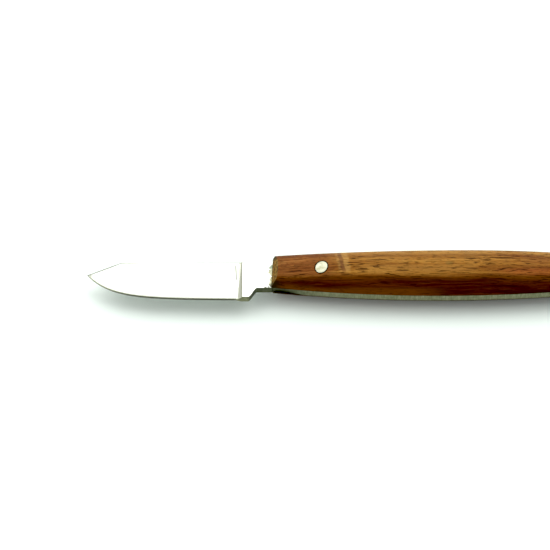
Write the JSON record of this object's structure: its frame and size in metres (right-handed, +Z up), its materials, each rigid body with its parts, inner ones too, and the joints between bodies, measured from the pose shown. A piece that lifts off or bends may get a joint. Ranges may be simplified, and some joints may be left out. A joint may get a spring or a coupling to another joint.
{
  "type": "whittling knife",
  "caption": "Small full-tang whittling knife: a ground steel blade with a belly edge and clipped point, between domed wooden handle scales held by flush pins.",
  "frame": {"origin": "middle of the knife's box in X and Y, at the height of the surface that it lies on", "axes": "+X along the knife from the blade's tip to the butt, +Y from the cutting edge to the back of the blade, +Z up through the thickness"},
  "size_m": [0.1714, 0.0168, 0.0111],
  "materials": {
    "blade_steel": "fine satin on the ground blade, draw-filed on the tang's edges",
    "rosewood": "oiled and hand rubbed, satin",
    "nickel_silver": "pale nickel-brass alloy ground flush with the wood",
    "bond_resin": "dark cured resin",
    "squeezed_resin": "dull resin with grinding dust in it"
  },
  "bodies": {
    "root": {"blade_and_tang": "blade_steel", "scale_upper": "rosewood", "scale_lower": "rosewood", "pin_front": "nickel_silver", "pin_rear": "nickel_silver", "resin_film_upper": "bond_resin", "resin_film_lower": "bond_resin", "resin_bead_front": "squeezed_resin"}
  },
  "joints": []
}
